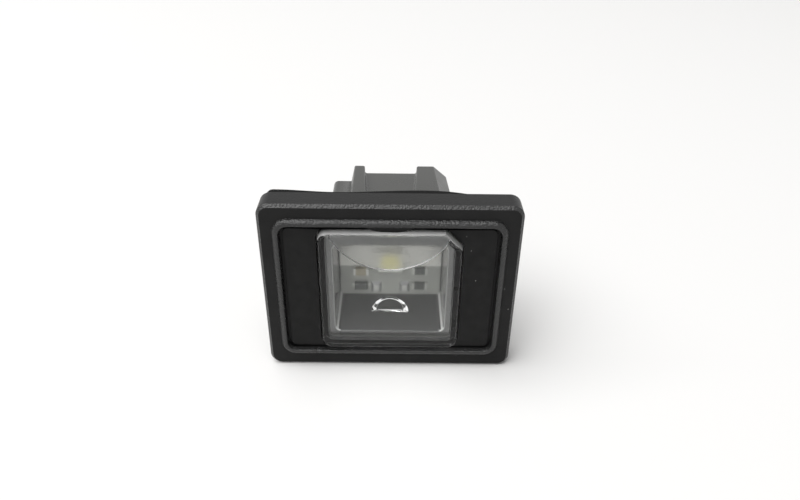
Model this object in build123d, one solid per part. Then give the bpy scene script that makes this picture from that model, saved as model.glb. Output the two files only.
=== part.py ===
from build123d import *
from math import radians, tan
import os

# Number plate lamp for a car body.
# X runs to the right, Y back into the car, Z up. The lens looks along -Y.
# The origin is the middle of the gasket's rear face, which seats on the body panel.
# All sizes are in millimetres.

# Front bezel: flange, raised rim and recessed panel
FLANGE_W = 50.5
FLANGE_H = 38.55
FLANGE_THICK = 5.2
FLANGE_R = 2.4
FLANGE_EDGE_R = 0.7
SHELF_X = 2.7          # flat shelf between the flange's edge and the rim, at the ends
SHELF_TOP = 2.85       # the same above the rim
SHELF_FOOT = 3.2       # the same below it
RIM_W = 1.3
RIM_HEIGHT = 1.0
RIM_R = 3.0
RIM_DRAFT = 18.0       # degrees that the rim's outer wall leans
RIM_EDGE = 0.3         # bevel along the rim's top edges
RECESS_DRAFT = 12.0    # degrees that the recess's wall leans
PANEL_THICK = 2.2      # panel level with the flange's face
PANEL_EDGE = 0.15      # bevel along the panel's edge
SEAM_W = 0.5           # groove between the panel and the recess's wall
SEAM_DEPTH = 0.5
APERTURE_GAP = 0.35    # room in the panel beside and below the lens
LUG_W = 8.6            # half-round lug that catches the lens's top wall
LUG_DROP = 0.85
STAKE_D = 2.4          # posts that are upset over the housing's base
STAKE_HEAD_D = 3.8
STAKE_HEAD_T = 0.8

# Gasket
GASKET_THICK = 2.0
GASKET_INSET_X = 1.1   # gasket edge inside the flange's edge
GASKET_INSET_Z = 0.35
GASKET_R = 1.4
GASKET_WAVE = 0.45     # how far the soft top edge sinks between its high places
GASKET_GAP = 0.4       # room round what passes through it

# Lens
LENS_W = 27.7
LENS_TOP_LAND = 0.74   # panel left between the lens and the top of the recess
LENS_FOOT_LAND = 1.44  # the same below the lens
LENS_R = 2.0
LENS_CUT = 3.4         # cut upper right corner
LENS_PROUD = 2.0       # front of the lens before the panel
LENS_FACE = 2.0
LENS_WALL = 1.3
LENS_EDGE_R = 0.7
LENS_SEAT = 1.5        # depth of the skirt in the housing's groove
LENS_GAP = 0.1
PAD_R = 13.0           # round pad inside the lens, cut off by its top wall
PAD_FOOT = 4.95        # lowest point of the pad above the lens centre
PAD_THICK = 0.8
MOON_R = 3.75          # half-moon optic inside the lens, at its foot
MOON_TOP_R = 2.7
MOON_RISE = 1.6
MOON_DROP = 5.05       # its flat edge below the lens centre

# Housing
BASE_LAND_X = 6.6      # base plate beyond the lens, at the ends
BASE_LAND_Z = 1.5      # the same, above and below
BASE_R = 2.5
BASE_GAP = 0.15        # base plate in the bezel's rear pocket
MOUTH_LAND_X = 1.2     # ridge between the lens groove and the light chamber, at the ends
MOUTH_TOP_LAND = 2.7   # the same above
MOUTH_FOOT_LAND = 0.4  # the same below
CHAMBER_DEPTH = 7.8    # base front to board
CHAMBER_R = 1.4
LEFT_WALL = 2.15       # side wall beside the board
RIGHT_WALL = 2.85      # the same on the right, at the base
RIGHT_TAPER = 1.45     # how far the right side comes in towards the rear
BOX_LEN = 20.8         # housing behind the seat
RIB_INSET = 1.5        # rib tops below the base plate's upper edge
FOOT_INSET = 3.3       # underside above the base plate's lower edge
CHANNEL_X = -0.2       # middle of the channel between the ribs
CHANNEL_W = 11.5       # its width at the rear
CHANNEL_FRONT_W = 8.8  # the same at the base
RIB_HEIGHT = 1.8
RIB_FOOT_R = 0.55
LEFT_RIB_X = 9.0       # left rib's foot from the middle
LEFT_RIB_LEAN = 0.8
SHOULDER_DROP = 2.0    # left shoulder below the channel floor
SHOULDER_R = 1.1       # round edge along the left shoulder
SLOPE_W = 2.95         # slope beside the right rib
SLOPE_DROP = 2.6
FOOT_CHAMFER = 2.6     # slopes along the underside
BOX_EDGE_R = 0.4

# Snap arm on the right and rigid hook on the left
CATCH_Y = 2.3          # catch faces behind the seat
ARM_THICK = 1.2
ARM_GAP = 1.3
ARM_W = 7.0
ARM_ROOT_Y = 14.5
ARM_ROOT_LEN = 2.6
NOSE_REACH = 1.4
NOSE_LEN = 5.5
NOSE_LAND = 0.8
HOOK_REACH = 1.7
HOOK_LEN = 5.0
HOOK_W = 8.0

# Plug socket in the rear of the housing
SOCKET_W = 15.0
SOCKET_H = 9.4
SOCKET_R = 1.2
SOCKET_DEPTH = 12.0
SHROUD_WALL = 1.3
CORE_WALL = 1.4        # outer wall left round the cored pockets
CORE_DEPTH = 9.5
CORE_WEB = 1.2
KEY_W = 2.2            # polarising ribs on the socket's floor
KEY_H = 1.0
KEY_X = 4.2

# Circuit board and its seat
BOARD_W = 21.2
BOARD_H = 14.8
BOARD_THICK = 1.6
BOARD_R = 0.8
BOARD_GAP = 0.2
BOARD_LEDGE = 1.2
RELIEF_DEPTH = 1.2     # room behind the board
PIN_D = 1.5            # moulded pins that place the board
PIN_GAP = 0.1
PIN_TIP = 0.5
PIN_INSET_X = 1.5      # pins inside the board's edges
PIN_INSET_Z = 1.5

# Contact blades
BLADE_PITCH = 6.0
BLADE_THICK = 0.8
BLADE_W = 2.8
BLADE_LEN = 7.0        # blade that stands in the socket
BLADE_TIP = 0.7
BLADE_GAP = 0.05
TAIL_W = 1.2
TAIL_INSET = 2.0       # tail above the board's lower edge
TAIL_OUT = 0.7         # tail in front of the board
SOLDER_RIM = 0.7       # solder round the tail, at its foot
SOLDER_TOP_RIM = 0.2

# Components on the board
LED_W = 5.0
LED_H = 5.0
LED_THICK = 1.4
LED_RISE = 1.7         # middle of the package above the board's
LED_WALL = 0.5         # wall of the package round its cup
LED_CUP_TAPER = 0.25
LED_CUP_DEPTH = 0.8
LED_TERMINAL_W = 0.5
LED_TERMINAL_H = 3.6
LED_TERMINAL_THICK = 0.2
CHIP_LEN = 3.2         # chip resistors and capacitor
CHIP_W = 1.6
RESISTOR_THICK = 0.6
CAPACITOR_THICK = 1.1
CAP_LEN = 0.5          # metal end of a chip
CHIP_GAP = 0.15        # between the solder and the diode's lead beside it
CHIP_INSET_Z = 2.4     # middle of the lower row above the board's lower edge
CHIP_PITCH = 3.8       # between the rows
DIODE_LEN = 2.7
DIODE_W = 1.6
DIODE_THICK = 1.1
DIODE_LEAD_W = 0.7
DIODE_LEAD_OUT = 0.6
DIODE_LEAD_THICK = 0.2

# Depths of the main faces along Y
FLANGE_BACK = -GASKET_THICK
FLANGE_FRONT = FLANGE_BACK - FLANGE_THICK
RIM_TOP = FLANGE_FRONT - RIM_HEIGHT
PANEL_BACK = FLANGE_FRONT + PANEL_THICK
LENS_FRONT = FLANGE_FRONT - LENS_PROUD
LENS_INNER = LENS_FRONT + LENS_FACE
LENS_BACK = PANEL_BACK + LENS_SEAT
BOARD_FRONT = PANEL_BACK + CHAMBER_DEPTH
BOARD_BACK = BOARD_FRONT + BOARD_THICK
RELIEF_BACK = BOARD_BACK + RELIEF_DEPTH
BOX_BACK = BOX_LEN
SOCKET_FLOOR = BOX_BACK - SOCKET_DEPTH
BLADE_END = SOCKET_FLOOR + BLADE_LEN

# Sizes that follow from those above
RIM_OUTER_W = FLANGE_W - 2 * SHELF_X
RIM_OUTER_H = FLANGE_H - SHELF_TOP - SHELF_FOOT
FLANGE_Z = (SHELF_TOP - SHELF_FOOT) / 2
RECESS_LEAN = RIM_HEIGHT * tan(radians(RECESS_DRAFT))
RECESS_W = RIM_OUTER_W - 2 * (RIM_W + RECESS_LEAN)     # at the recess's floor
RECESS_H = RIM_OUTER_H - 2 * (RIM_W + RECESS_LEAN)
RECESS_R = RIM_R - RIM_W
LENS_H = RECESS_H - LENS_TOP_LAND - LENS_FOOT_LAND
LENS_Z = (LENS_FOOT_LAND - LENS_TOP_LAND) / 2
BASE_W = LENS_W + 2 * BASE_LAND_X
BASE_H = LENS_H + 2 * (abs(LENS_Z) + BASE_LAND_Z)
BOX_TOP = BASE_H / 2 - RIB_INSET - RIB_HEIGHT      # channel floor above the centre
BOX_BOTTOM = BASE_H / 2 - FOOT_INSET
MOUTH_W = LENS_W - 2 * (LENS_WALL + LENS_GAP + MOUTH_LAND_X)
MOUTH_H = LENS_H - 2 * (LENS_WALL + LENS_GAP) - MOUTH_TOP_LAND - MOUTH_FOOT_LAND
MOUTH_Z = LENS_Z + (MOUTH_FOOT_LAND - MOUTH_TOP_LAND) / 2
SEAT_W = BOARD_W + 2 * BOARD_GAP
SEAT_H = BOARD_H + 2 * BOARD_GAP
BOX_LEFT = -SEAT_W / 2 - LEFT_WALL
BOX_RIGHT = SEAT_W / 2 + RIGHT_WALL
BOX_RIGHT_REAR = BOX_RIGHT - RIGHT_TAPER
ARM_IN = BOX_RIGHT + ARM_GAP
ARM_OUT = ARM_IN + ARM_THICK
STAKE_X = (LENS_W / 2 + BASE_W / 2) / 2
STAKES = [(-STAKE_X, 0), (STAKE_X, 0)]
PINS = [(x, BOARD_H / 2 - PIN_INSET_Z) for x in (PIN_INSET_X - BOARD_W / 2, BOARD_W / 2 - PIN_INSET_X)]
TAIL_Z = TAIL_INSET - BOARD_H / 2
SOLDER_OUT = (BLADE_PITCH + BLADE_THICK) / 2 + SOLDER_RIM      # outer edge of the solder
CHIP_X = SOLDER_OUT + CHIP_GAP + DIODE_LEAD_OUT + DIODE_LEN / 2
LOWER_ROW = CHIP_INSET_Z - BOARD_H / 2
UPPER_ROW = LOWER_ROW + CHIP_PITCH
RESISTOR_PLACES = [(CHIP_X, LOWER_ROW), (CHIP_X, UPPER_ROW)]
CAPACITOR_PLACE = (-CHIP_X, UPPER_ROW)
DIODE_PLACE = (-CHIP_X, LOWER_ROW)
LED_CUP_R = min(LED_W, LED_H) / 2 - LED_WALL
BLADE_SIDES = {"positive": BLADE_PITCH / 2, "negative": -BLADE_PITCH / 2}


def across(y):
    """Plane across the lamp at depth y, facing out through the lens."""
    return Plane.XZ.offset(-y)


def slab(outline, front, back):
    """Solid with a flat outline between two depths."""
    return extrude(across(back) * outline, amount=back - front)


def front_edges(solid):
    """Edges of the foremost flat face."""
    return solid.faces().sort_by(Axis.Y)[0].edges()


def lens_outline():
    """Outside of the lens: three round corners and one cut corner."""
    outline = Rectangle(LENS_W, LENS_H)
    corners = outline.vertices().sort_by(lambda corner: corner.X + corner.Y)
    outline = chamfer(corners[-1], LENS_CUT)
    round_corners = [v for v in outline.vertices() if min(v.X, v.Y) < -min(LENS_W, LENS_H) / 4]
    outline = fillet(round_corners, LENS_R)
    return Pos(0, LENS_Z) * outline


def aperture_outline():
    """Opening in the panel for the lens, close above it and wider elsewhere."""
    top = LENS_Z + LENS_H / 2 + LENS_GAP
    below_top = Pos(0, top - RECESS_H / 2) * Rectangle(RECESS_W, RECESS_H)
    return offset(lens_outline(), APERTURE_GAP) & below_top


def lug_outline(grow=0.0):
    """Segment of a circle that hangs from the top of the recess, rooted in the rim."""
    radius = (LUG_W**2 / 4 + LUG_DROP**2) / (2 * LUG_DROP)
    disc = Pos(0, RECESS_H / 2 - LUG_DROP + radius) * Circle(radius + grow)
    root = Pos(0, RECESS_H / 2) * Rectangle(LUG_W + RIM_W, 2 * LUG_DROP + 4 * grow)
    return disc & root


def bezel():
    flange_outline = Pos(0, FLANGE_Z) * RectangleRounded(FLANGE_W, FLANGE_H, FLANGE_R)
    flange = slab(flange_outline, FLANGE_FRONT, FLANGE_BACK)
    flange = fillet(front_edges(flange), FLANGE_EDGE_R)

    floor = RectangleRounded(RECESS_W, RECESS_H, RECESS_R)
    recess = extrude(across(FLANGE_FRONT) * floor, amount=RIM_HEIGHT, taper=-RECESS_DRAFT)
    rim_outline = RectangleRounded(RIM_OUTER_W, RIM_OUTER_H, RIM_R)
    rim = extrude(across(FLANGE_FRONT) * rim_outline, amount=RIM_HEIGHT, taper=RIM_DRAFT)
    rim = chamfer(front_edges(rim - recess), RIM_EDGE)

    seam_floor = FLANGE_FRONT + SEAM_DEPTH
    panel = slab(offset(floor, -SEAM_W), FLANGE_FRONT, seam_floor)
    panel = chamfer(front_edges(panel), PANEL_EDGE)
    body = flange + rim
    body -= slab(floor, FLANGE_FRONT, seam_floor) - panel
    body -= slab(aperture_outline(), RIM_TOP, PANEL_BACK)
    body += slab(lug_outline(), RIM_TOP + RIM_EDGE, seam_floor)
    pocket = RectangleRounded(BASE_W + 2 * BASE_GAP, BASE_H + 2 * BASE_GAP, BASE_R)
    body -= slab(pocket, PANEL_BACK, FLANGE_BACK)
    for x, z in STAKES:
        body += slab(Pos(x, z) * Circle(STAKE_D / 2), PANEL_BACK, FLANGE_BACK)
        body += slab(Pos(x, z) * Circle(STAKE_HEAD_D / 2), FLANGE_BACK - STAKE_HEAD_T, FLANGE_BACK)
    return body


def gasket():
    """Flat ring of soft foam whose top edge is cut a little unevenly."""
    half_w = FLANGE_W / 2 - GASKET_INSET_X
    half_h = FLANGE_H / 2 + FLANGE_Z - GASKET_INSET_Z
    low = half_h - GASKET_WAVE
    shoulder = half_w - GASKET_R
    top_edge = Spline(
        (-shoulder, half_h),
        (-half_w / 2, low),
        (0, half_h - GASKET_WAVE / 4),
        (half_w / 2, half_h - GASKET_WAVE / 2),
        (shoulder, half_h - 3 * GASKET_WAVE),
        tangents=[(1, 0), (1, 0)],
    )
    right_end = half_h - 3 * GASKET_WAVE
    left_corner = RadiusArc((-half_w, half_h - GASKET_R), (-shoulder, half_h), GASKET_R)
    right_corner = RadiusArc((shoulder, right_end), (half_w, right_end - GASKET_R), GASKET_R)
    right_side = Line((half_w, right_end - GASKET_R), (half_w, GASKET_R - half_h))
    lower_right = RadiusArc((half_w, GASKET_R - half_h), (shoulder, -half_h), GASKET_R)
    bottom = Line((shoulder, -half_h), (-shoulder, -half_h))
    lower_left = RadiusArc((-shoulder, -half_h), (-half_w, GASKET_R - half_h), GASKET_R)
    left_side = Line((-half_w, GASKET_R - half_h), (-half_w, half_h - GASKET_R))
    edges = [top_edge, right_corner, right_side, lower_right, bottom, lower_left, left_side, left_corner]
    outline = make_face(Wire([edge for part in edges for edge in part.edges()]))

    left = BOX_LEFT - GASKET_GAP
    right = ARM_OUT + GASKET_GAP
    top = BOX_TOP + RIB_HEIGHT + GASKET_GAP
    bottom_z = -BOX_BOTTOM - GASKET_GAP
    opening = Pos((left + right) / 2, (top + bottom_z) / 2) * RectangleRounded(
        right - left, top - bottom_z, GASKET_R
    )
    return slab(outline - opening, FLANGE_BACK, 0)


def lens():
    outline = lens_outline()
    cup = slab(outline, LENS_FRONT, LENS_BACK)
    cup = fillet(front_edges(cup), LENS_EDGE_R)
    inside = offset(outline, -LENS_WALL)
    cup -= slab(inside, LENS_INNER, LENS_BACK)

    pad = inside & Pos(0, LENS_Z + PAD_FOOT + PAD_R) * Circle(PAD_R)
    cup += slab(pad, LENS_INNER, LENS_INNER + PAD_THICK)

    moon_z = LENS_Z - MOON_DROP
    boss = across(LENS_INNER + MOON_RISE / 2) * Pos(0, moon_z) * Cone(MOON_TOP_R, MOON_R, MOON_RISE)
    upper_half = slab(
        Pos(0, moon_z + MOON_R / 2) * Rectangle(2 * MOON_R, MOON_R), LENS_INNER, LENS_INNER + MOON_RISE
    )
    cup += boss & upper_half

    cup -= slab(lug_outline(LENS_GAP), RIM_TOP + RIM_EDGE - LENS_GAP, FLANGE_FRONT + SEAM_DEPTH + LENS_GAP)
    return cup


def box_section():
    """Section of the housing behind the seat, before the channel is cut."""
    rib_top = BOX_TOP + RIB_HEIGHT
    shoulder = BOX_TOP - SHOULDER_DROP
    foot = FOOT_CHAMFER - BOX_BOTTOM
    left = [
        (BOX_LEFT + FOOT_CHAMFER, -BOX_BOTTOM),
        (BOX_LEFT, foot),
        (BOX_LEFT, shoulder),
        (-LEFT_RIB_X, shoulder),
        (LEFT_RIB_LEAN - LEFT_RIB_X, rib_top),
    ]
    right = [
        (BOX_RIGHT - SLOPE_W, rib_top),
        (BOX_RIGHT, rib_top - SLOPE_DROP),
        (BOX_RIGHT, foot),
        (BOX_RIGHT - FOOT_CHAMFER, -BOX_BOTTOM),
    ]
    return left, right


def box():
    """Body behind the seat: straight on the left, tapered on the right, with a channel between two ribs."""
    left, right = box_section()
    rib_top = BOX_TOP + RIB_HEIGHT
    length = BOX_BACK - FLANGE_BACK
    beyond = 2 * BOX_RIGHT
    left_part = make_face(Polyline(*left, (beyond, rib_top), (beyond, -BOX_BOTTOM), close=True))
    right_part = make_face(Polyline(*right, (-beyond, -BOX_BOTTOM), (-beyond, rib_top), close=True))
    run = Vector(-RIGHT_TAPER, length, 0)
    body = slab(left_part, FLANGE_BACK, BOX_BACK)
    body &= extrude(across(FLANGE_BACK) * right_part, amount=run.length, dir=run)

    channel = make_face(
        Polyline(
            (-CHANNEL_FRONT_W / 2, FLANGE_BACK),
            (CHANNEL_FRONT_W / 2, FLANGE_BACK),
            (CHANNEL_W / 2, BOX_BACK),
            (-CHANNEL_W / 2, BOX_BACK),
            close=True,
        )
    )
    body -= extrude(Plane.XY.offset(BOX_TOP) * Pos(CHANNEL_X, 0) * channel, amount=2 * RIB_HEIGHT)

    body = fillet(long_edges(body, BOX_TOP), RIB_FOOT_R)
    body = fillet(long_edges(body, BOX_TOP - SHOULDER_DROP)[0], SHOULDER_R)
    sharp = long_edges(body, rib_top) + long_edges(body, rib_top - SLOPE_DROP)[-1:]
    sharp += long_edges(body, FOOT_CHAMFER - BOX_BOTTOM) + long_edges(body, -BOX_BOTTOM)
    return fillet(sharp, BOX_EDGE_R)


def long_edges(solid, height):
    """Edges that run from front to back at one height, from left to right."""
    edges = [
        edge
        for edge in solid.edges()
        if abs(edge.tangent_at(0.5).Y) > 0.9 and abs(edge.center().Z - height) < BOX_EDGE_R / 10
    ]
    return ShapeList(edges).sort_by(Axis.X)


def snap_arm():
    """Springy arm on the right, rooted at the rear, with a ramped nose."""
    nose = ARM_OUT + NOSE_REACH
    plan = make_face(
        Polyline(
            (BOX_RIGHT_REAR, ARM_ROOT_Y),
            (ARM_OUT, ARM_ROOT_Y - ARM_THICK),
            (ARM_OUT, CATCH_Y + NOSE_LEN),
            (nose, CATCH_Y + NOSE_LAND),
            (nose, CATCH_Y),
            (ARM_IN, CATCH_Y),
            (ARM_IN, ARM_ROOT_Y - ARM_ROOT_LEN),
            (BOX_RIGHT_REAR, ARM_ROOT_Y - ARM_ROOT_LEN),
            close=True,
        )
    )
    return extrude(plan, amount=ARM_W / 2, both=True)


def hook():
    """Rigid wedge on the left that goes behind the body panel first."""
    reach = BOX_LEFT - HOOK_REACH
    plan = make_face(
        Polyline(
            (BOX_LEFT, CATCH_Y),
            (reach, CATCH_Y),
            (reach, CATCH_Y + NOSE_LAND),
            (BOX_LEFT, CATCH_Y + HOOK_LEN),
            close=True,
        )
    )
    return extrude(plan, amount=HOOK_W / 2, both=True)


def core_outline():
    """Pockets round the plug socket that keep the rear walls even."""
    left = BOX_LEFT + CORE_WALL
    right = BOX_RIGHT_REAR - CORE_WALL
    top = BOX_TOP - SHOULDER_DROP - CORE_WALL
    bottom = CORE_WALL - BOX_BOTTOM
    pocket = Pos((left + right) / 2, (top + bottom) / 2) * Rectangle(right - left, top - bottom)
    shroud = Rectangle(SOCKET_W + 2 * SHROUD_WALL, SOCKET_H + 2 * SHROUD_WALL)
    webs = Rectangle(CORE_WEB, 3 * BOX_TOP) + Rectangle(3 * BOX_RIGHT, CORE_WEB)
    return pocket - shroud - webs


def blade_outline(grow=0.0):
    """Side view of a stamped blade, with Y to the right and Z up."""
    tail_top = TAIL_Z + TAIL_W / 2 + grow
    tail_foot = TAIL_Z - TAIL_W / 2 - grow
    half = BLADE_W / 2 + grow
    shoulder_front = RELIEF_BACK
    shoulder_back = (RELIEF_BACK + SOCKET_FLOOR) / 2 + grow
    return make_face(
        Polyline(
            (BOARD_FRONT - TAIL_OUT, tail_foot),
            (shoulder_back, tail_foot),
            (shoulder_back, -half),
            (BLADE_END - BLADE_TIP, -half),
            (BLADE_END, BLADE_TIP - half),
            (BLADE_END, half - BLADE_TIP),
            (BLADE_END - BLADE_TIP, half),
            (shoulder_front, half),
            (shoulder_front, tail_top),
            (BOARD_FRONT - TAIL_OUT, tail_top),
            close=True,
        )
    )


def blade(side, grow=0.0):
    """One contact blade, or the slot for it when grown."""
    middle = Plane.YZ.offset(BLADE_SIDES[side])
    return extrude(middle * blade_outline(grow), amount=BLADE_THICK / 2 + grow, both=True)


def light_chamber():
    """Space between the lens and the board: a tapered box with rounded corners."""
    plan = make_face(
        Polyline(
            (-MOUTH_W / 2, PANEL_BACK),
            (MOUTH_W / 2, PANEL_BACK),
            (SEAT_W / 2, BOARD_FRONT),
            (-SEAT_W / 2, BOARD_FRONT),
            close=True,
        )
    )
    side = make_face(
        Polyline(
            (PANEL_BACK, MOUTH_Z - MOUTH_H / 2),
            (PANEL_BACK, MOUTH_Z + MOUTH_H / 2),
            (BOARD_FRONT, SEAT_H / 2),
            (BOARD_FRONT, -SEAT_H / 2),
            close=True,
        )
    )
    chamber = extrude(plan, amount=MOUTH_H, both=True) & extrude(Plane.YZ * side, amount=MOUTH_W, both=True)
    corners = [edge for edge in chamber.edges() if abs(edge.tangent_at(0.5).Y) > 0.5]
    return fillet(corners, CHAMBER_R)


def housing():
    body = slab(RectangleRounded(BASE_W, BASE_H, BASE_R), PANEL_BACK, FLANGE_BACK)
    body += box() + snap_arm() + hook()
    body -= light_chamber()
    body -= slab(RectangleRounded(SEAT_W, SEAT_H, BOARD_R + BOARD_GAP), BOARD_FRONT, BOARD_BACK)
    relief = Rectangle(SEAT_W - 2 * BOARD_LEDGE, SEAT_H - 2 * BOARD_LEDGE)
    body -= slab(relief, BOARD_BACK, RELIEF_BACK)

    groove = offset(lens_outline(), LENS_GAP) - offset(lens_outline(), -LENS_WALL - LENS_GAP)
    body -= slab(groove, PANEL_BACK, LENS_BACK)
    for x, z in STAKES:
        body -= slab(Pos(x, z) * Circle(STAKE_D / 2 + PIN_GAP), PANEL_BACK, FLANGE_BACK)
        head = Circle(STAKE_HEAD_D / 2 + PIN_GAP)
        body -= slab(Pos(x, z) * head, FLANGE_BACK - STAKE_HEAD_T, FLANGE_BACK)

    body -= slab(core_outline(), BOX_BACK - CORE_DEPTH, BOX_BACK)
    body -= slab(RectangleRounded(SOCKET_W, SOCKET_H, SOCKET_R), SOCKET_FLOOR, BOX_BACK)
    for x in (-KEY_X, KEY_X):
        key = Pos(x, KEY_H / 2 - SOCKET_H / 2) * Rectangle(KEY_W, KEY_H)
        body += slab(key, SOCKET_FLOOR, BOX_BACK - KEY_H)
    for side in BLADE_SIDES:
        body -= blade(side, BLADE_GAP)

    for x, z in PINS:
        body += slab(Pos(x, z) * Circle(PIN_D / 2), BOARD_FRONT - PIN_TIP, RELIEF_BACK)
    return body


def circuit_board():
    outline = RectangleRounded(BOARD_W, BOARD_H, BOARD_R)
    for x, z in PINS:
        outline -= Pos(x, z) * Circle(PIN_D / 2 + PIN_GAP)
    for x in BLADE_SIDES.values():
        outline -= Pos(x, TAIL_Z) * Rectangle(BLADE_THICK + 2 * BLADE_GAP, TAIL_W + 2 * BLADE_GAP)
    return slab(outline, BOARD_FRONT, BOARD_BACK)


def solder_joints():
    """A tapered heap of solder round each blade's tail."""
    joints = []
    for side, x in BLADE_SIDES.items():
        tail = Pos(x, TAIL_Z)
        foot = tail * Rectangle(BLADE_THICK + 2 * SOLDER_RIM, TAIL_W + 2 * SOLDER_RIM)
        top = tail * Rectangle(BLADE_THICK + 2 * SOLDER_TOP_RIM, TAIL_W + 2 * SOLDER_TOP_RIM)
        heap = loft([across(BOARD_FRONT) * foot, across(BOARD_FRONT - TAIL_OUT) * top], ruled=True)
        joints.append(heap - blade(side))
    return joints


def led_package():
    body = slab(Pos(0, LED_RISE) * Rectangle(LED_W, LED_H), BOARD_FRONT - LED_THICK, BOARD_FRONT)
    return body - led_phosphor()


def led_phosphor():
    """Yellow filling of the package's cup."""
    middle = BOARD_FRONT - LED_THICK + LED_CUP_DEPTH / 2
    return across(middle) * Pos(0, LED_RISE) * Cone(LED_CUP_R - LED_CUP_TAPER, LED_CUP_R, LED_CUP_DEPTH)


def led_terminals():
    reach = LED_W / 2 + LED_TERMINAL_W / 2
    pad = Rectangle(LED_TERMINAL_W, LED_TERMINAL_H)
    return [
        slab(Pos(x, LED_RISE) * pad, BOARD_FRONT - LED_TERMINAL_THICK, BOARD_FRONT) for x in (-reach, reach)
    ]


def chip_body(place, thick):
    """Ceramic middle of a chip component, lying along X."""
    return slab(Pos(*place) * Rectangle(CHIP_LEN - 2 * CAP_LEN, CHIP_W), BOARD_FRONT - thick, BOARD_FRONT)


def chip_ends(place, thick):
    """Metal ends of a chip component."""
    reach = (CHIP_LEN - CAP_LEN) / 2
    x, z = place
    end = Rectangle(CAP_LEN, CHIP_W)
    return [
        slab(Pos(x + shift, z) * end, BOARD_FRONT - thick, BOARD_FRONT) for shift in (-reach, reach)
    ]


def diode_body():
    body = slab(Pos(*DIODE_PLACE) * Rectangle(DIODE_LEN, DIODE_W), BOARD_FRONT - DIODE_THICK, BOARD_FRONT)
    return chamfer(front_edges(body), DIODE_THICK / 5)


def diode_leads():
    reach = (DIODE_LEN + DIODE_LEAD_OUT) / 2
    x, z = DIODE_PLACE
    lead = Rectangle(DIODE_LEAD_OUT, DIODE_LEAD_W)
    return [
        slab(Pos(x + shift, z) * lead, BOARD_FRONT - DIODE_LEAD_THICK, BOARD_FRONT)
        for shift in (-reach, reach)
    ]


def lamp_pieces():
    """Every piece of the lamp by its node name."""
    return {
        "bezel": bezel(),
        "housing": housing(),
        "gasket": gasket(),
        "lens": lens(),
        "circuit_board": circuit_board(),
        "led_package": led_package(),
        "led_phosphor": led_phosphor(),
        "led_terminals": led_terminals(),
        "contact_blade_positive": blade("positive"),
        "contact_blade_negative": blade("negative"),
        "solder_joints": solder_joints(),
        "resistor_bodies": [chip_body(place, RESISTOR_THICK) for place in RESISTOR_PLACES],
        "resistor_ends": [end for place in RESISTOR_PLACES for end in chip_ends(place, RESISTOR_THICK)],
        "capacitor_body": chip_body(CAPACITOR_PLACE, CAPACITOR_THICK),
        "capacitor_ends": chip_ends(CAPACITOR_PLACE, CAPACITOR_THICK),
        "diode_body": diode_body(),
        "diode_leads": diode_leads(),
    }


def main():
    os.makedirs("parts", exist_ok=True)
    for name, piece in lamp_pieces().items():
        shape = Compound(children=piece) if isinstance(piece, list) else piece
        export_step(shape, os.path.join("parts", name + ".step"))


main()
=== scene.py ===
import math

import bmesh
import bpy
from bpy.props import FloatProperty, FloatVectorProperty, IntProperty, PointerProperty
from bpy.types import Operator, Panel, PropertyGroup
from mathutils import Matrix, Vector


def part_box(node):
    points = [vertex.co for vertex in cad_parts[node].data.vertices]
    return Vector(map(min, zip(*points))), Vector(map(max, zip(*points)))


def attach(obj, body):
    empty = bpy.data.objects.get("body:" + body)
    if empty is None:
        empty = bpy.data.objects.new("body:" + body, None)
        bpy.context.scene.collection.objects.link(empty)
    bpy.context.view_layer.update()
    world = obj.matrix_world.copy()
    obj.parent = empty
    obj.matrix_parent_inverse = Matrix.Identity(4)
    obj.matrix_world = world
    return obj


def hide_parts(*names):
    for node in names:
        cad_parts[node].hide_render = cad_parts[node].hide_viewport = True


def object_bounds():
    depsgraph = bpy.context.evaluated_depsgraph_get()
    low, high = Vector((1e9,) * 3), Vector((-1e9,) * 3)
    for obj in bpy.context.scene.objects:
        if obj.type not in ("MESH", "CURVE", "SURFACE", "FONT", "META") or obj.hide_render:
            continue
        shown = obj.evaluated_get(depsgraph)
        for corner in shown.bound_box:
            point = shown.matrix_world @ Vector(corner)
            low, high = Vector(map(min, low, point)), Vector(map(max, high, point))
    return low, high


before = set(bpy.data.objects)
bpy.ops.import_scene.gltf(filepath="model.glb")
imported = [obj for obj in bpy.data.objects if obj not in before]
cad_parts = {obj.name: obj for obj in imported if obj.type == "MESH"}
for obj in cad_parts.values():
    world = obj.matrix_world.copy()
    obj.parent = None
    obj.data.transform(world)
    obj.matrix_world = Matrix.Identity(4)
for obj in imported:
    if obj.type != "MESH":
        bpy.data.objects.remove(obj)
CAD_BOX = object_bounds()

bl_info = {
    "name": "Number plate lamp",
    "version": (1, 0, 0),
    "blender": (4, 5, 0),
    "location": "View3D > Sidebar > Lamp",
    "description": "Dresses the number plate lamp and sets it on a white table",
    "category": "Add Mesh",
}

MM = 0.001
BODY = "root"
MERGE_DISTANCE = 0.001 * MM
FLAT_ANGLE = math.radians(0.5)
SHARP_ANGLE = math.radians(35)
PIN_STEPS = 32
LUG_STEPS = 192

# Places that come from the frame
BEZEL_LOW, BEZEL_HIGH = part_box("bezel")
HOUSING_LOW, HOUSING_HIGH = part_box("housing")
LENS_LOW, LENS_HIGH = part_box("lens")
BOARD_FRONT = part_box("circuit_board")[0].y
RIM_TOP = BEZEL_LOW.y
FLANGE_BACK = BEZEL_HIGH.y
PANEL_BACK = HOUSING_LOW.y


def length(name, description, default):
    """A size that a user may change, in metres."""
    return FloatProperty(
        name=name, description=description, default=default, min=0.0, unit="LENGTH", precision=5
    )


def tint(name, description, default):
    """A colour that a user may change."""
    return FloatVectorProperty(
        name=name, description=description, default=default, size=3, min=0.0, max=1.0, subtype="COLOR"
    )


def slant(name, description, degrees):
    """An angle that a user may change."""
    return FloatProperty(
        name=name, description=description, default=math.radians(degrees), subtype="ANGLE"
    )


def spot(name, description, default):
    """A point that a user may move, in metres."""
    return FloatVectorProperty(
        name=name, description=description, default=default, subtype="TRANSLATION"
    )


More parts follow.
